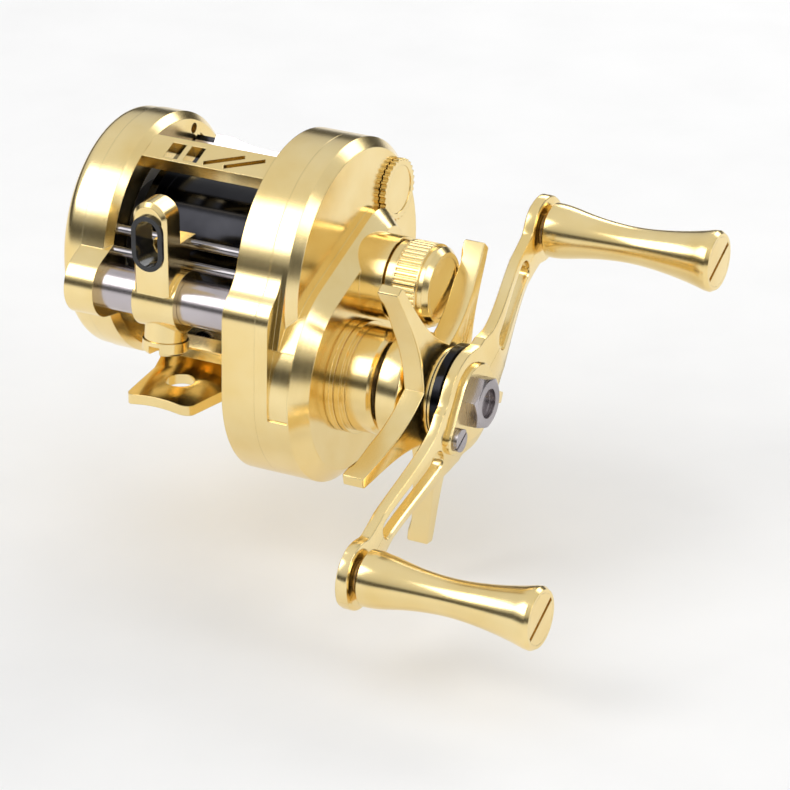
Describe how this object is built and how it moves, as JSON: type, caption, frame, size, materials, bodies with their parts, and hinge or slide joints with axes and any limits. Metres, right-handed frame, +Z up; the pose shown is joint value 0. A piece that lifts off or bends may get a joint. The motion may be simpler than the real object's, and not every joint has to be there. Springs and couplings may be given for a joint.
{
  "type": "baitcasting reel",
  "caption": "Round baitcasting fishing reel with geared spool, level-wind line guide, star drag, cast control knob, thumb bar and double-knob crank handle, on an arched foot.",
  "frame": {"origin": "midway between the two holes of the foot, on the foot's underside", "axes": "+X along the spool towards the handle, +Y to the rear, away from the line guide, +Z up, away from the rod"},
  "size_m": [0.1104, 0.0854, 0.0692],
  "materials": {
    "gold": "polished champagne gold anodizing",
    "black_gloss": "glossy black anodizing",
    "black_ceramic": "polished black ceramic",
    "silver": "satin silver anodizing",
    "steel": "ground stainless steel",
    "dark_steel": "polished dark steel",
    "brass": "machined brass",
    "alloy": "turned aluminium",
    "nylon": "moulded natural nylon",
    "magnet": "plated magnet",
    "drag_fibre": "woven fibre washer"
  },
  "bodies": {
    "reel_body": {"frame": "gold", "reel_foot": "gold", "foot_rivets": "steel", "palm_side_cover": "gold", "palm_cover_screws": "steel", "brake_magnet_holder": "nylon", "brake_magnet_ring": "magnet", "spool_bearings": "steel", "gear_side_cover": "gold", "side_cover_screws": "steel", "pinion_bearing": "steel", "drive_shaft_bushing": "brass", "roller_clutch": "steel", "drive_shaft_bearing": "steel", "guide_tube": "silver", "worm_bushings": "nylon", "guide_rods": "dark_steel", "yoke_springs": "steel"},
    "crank": {"drive_shaft": "steel", "drive_gear": "brass", "drag_washer": "drag_fibre", "key_washer": "steel", "pressure_plate": "steel", "clutch_sleeve": "steel", "levelwind_gear": "nylon", "drag_springs": "steel", "handle_washer": "black_gloss", "handle_blade": "gold", "nut_retainer": "gold", "handle_nut": "steel", "retainer_screw": "steel", "knob_spindles": "steel"},
    "star": {"star_drag": "gold", "star_collar": "gold", "drag_nut": "brass"},
    "upper_grip": {"upper_knob": "gold", "upper_knob_cap": "gold"},
    "lower_grip": {"lower_knob": "gold", "lower_knob_cap": "gold"},
    "spool_unit": {"spool": "black_gloss", "brake_rotor": "alloy", "spool_shaft": "steel", "spool_pin": "steel"},
    "yoke": {"pinion_yoke": "nylon"},
    "pinion": {"pinion_gear": "brass"},
    "thumb_unit": {"thumb_bar": "silver", "thumb_bar_pad": "black_gloss", "clutch_cam": "steel"},
    "idler": {"idler_gear": "nylon"},
    "worm": {"worm_shaft": "steel", "worm_cog": "nylon", "worm_clip": "steel"},
    "guide_carriage": {"line_guide": "gold", "line_guide_insert": "black_ceramic", "pawl": "brass", "pawl_cap": "gold"},
    "cast_knob": {"cast_control_knob": "gold"},
    "brake_wheel": {"brake_dial": "gold"},
    "small_dial": {"side_dial": "gold"}
  },
  "joints": [
    {"name": "crank_turn", "type": "hinge", "parent": "reel_body", "child": "crank", "pos_m": [0.0035, -0.0141, 0.00748], "axis": [1, 0, 0], "continuous": true},
    {"name": "star_turn", "type": "hinge", "parent": "crank", "child": "star", "pos_m": [0.0035, -0.0141, 0.00748], "axis": [1, 0, 0], "range_deg": [-180, 180]},
    {"name": "upper_grip_spin", "type": "hinge", "parent": "crank", "child": "upper_grip", "pos_m": [0.0635, 0.02203, 0.02685], "axis": [1, 0, 0], "continuous": true},
    {"name": "lower_grip_spin", "type": "hinge", "parent": "crank", "child": "lower_grip", "pos_m": [0.0635, -0.05024, -0.01189], "axis": [1, 0, 0], "continuous": true},
    {"name": "spool_spin", "type": "hinge", "parent": "reel_body", "child": "spool_unit", "pos_m": [0.0035, -0.005, 0.0237], "axis": [1, 0, 0], "continuous": true},
    {"name": "yoke_shift", "type": "slide", "parent": "reel_body", "child": "yoke", "axis": [1, 0, 0], "range_m": [0, 0.0018], "deforming": ["yoke_springs"]},
    {"name": "pinion_spin", "type": "hinge", "parent": "yoke", "child": "pinion", "pos_m": [0.0035, -0.005, 0.0237], "axis": [1, 0, 0], "continuous": true},
    {"name": "thumb_slide", "type": "slide", "parent": "reel_body", "child": "thumb_unit", "axis": [0, 0.766, -0.6428], "range_m": [0, 0.003]},
    {"name": "idler_spin", "type": "hinge", "parent": "reel_body", "child": "idler", "pos_m": [0.0035, -0.0202, 0.01694], "axis": [1, 0, 0], "continuous": true},
    {"name": "worm_spin", "type": "hinge", "parent": "reel_body", "child": "worm", "pos_m": [0.0035, -0.0276, 0.0216], "axis": [1, 0, 0], "continuous": true},
    {"name": "line_guide_slide", "type": "slide", "parent": "reel_body", "child": "guide_carriage", "axis": [1, 0, 0], "range_m": [-0.0076, 0.01]},
    {"name": "cast_knob_turn", "type": "hinge", "parent": "reel_body", "child": "cast_knob", "pos_m": [0.0035, -0.005, 0.0237], "axis": [1, 0, 0], "range_deg": [-180, 180]},
    {"name": "brake_dial_turn", "type": "hinge", "parent": "reel_body", "child": "brake_wheel", "pos_m": [0.0035, -0.005, 0.0237], "axis": [1, 0, 0], "range_deg": [0, 270]},
    {"name": "side_dial_turn", "type": "hinge", "parent": "reel_body", "child": "small_dial", "pos_m": [0.0295, 0.0086, 0.0349], "axis": [1, 0, 0], "range_deg": [-90, 90]}
  ],
  "couplings": [
    {"joint": "spool_spin", "follows": "crank_turn", "ratio": -6.1538},
    {"joint": "pinion_spin", "follows": "crank_turn", "ratio": -6.1538},
    {"joint": "idler_spin", "follows": "crank_turn", "ratio": -1.6471},
    {"joint": "worm_spin", "follows": "crank_turn", "ratio": 1.5556},
    {"joint": "yoke_shift", "follows": "thumb_slide", "ratio": 0.6}
  ]
}
